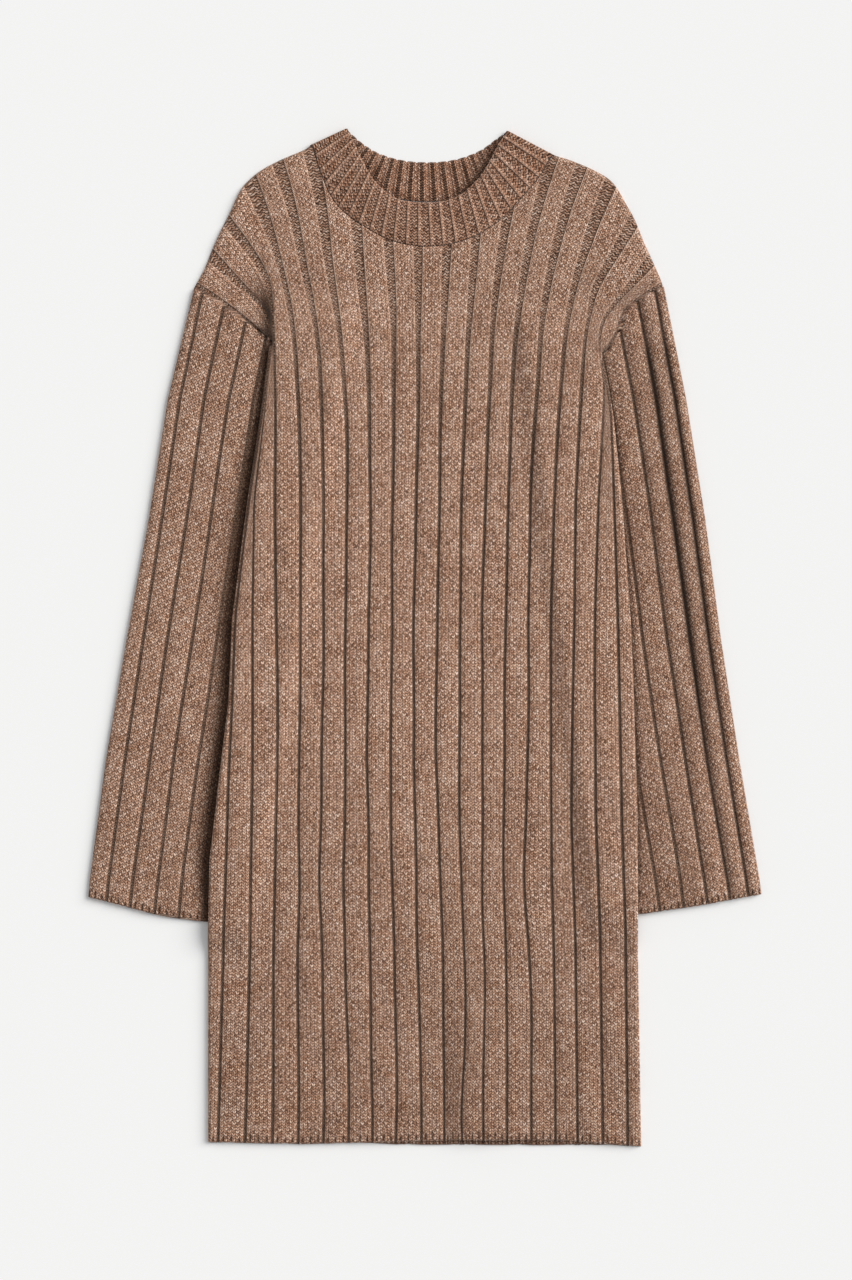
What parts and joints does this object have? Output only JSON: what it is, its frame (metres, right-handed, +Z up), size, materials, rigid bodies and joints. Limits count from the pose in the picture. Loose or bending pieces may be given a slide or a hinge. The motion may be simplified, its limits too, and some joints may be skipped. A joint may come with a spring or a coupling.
{
  "type": "sweater dress",
  "caption": "Rib-knit sweater dress with a ribbed crew neckband, dropped shoulders and long straight sleeves, laid flat on its back.",
  "frame": {"origin": "middle of the laid dress's outline, on the surface that it lies on", "axes": "+Y towards the neck, +X towards the wearer's left sleeve, +Z up out of the dress's front"},
  "size_m": [0.5829, 0.8818, 0.0117],
  "materials": {
    "body_knit": "brown and beige melange wool-blend knit, matt with a slight nap",
    "sleeve_knit": "the same melange knit, matt with a slight nap",
    "neckband_knit": "narrow rib of the same yarn, knitted tighter and a little darker"
  },
  "bodies": {
    "root": {"front": "body_knit", "back": "body_knit", "sleeve_right": "sleeve_knit", "sleeve_left": "sleeve_knit", "neckband": "neckband_knit"}
  },
  "joints": []
}
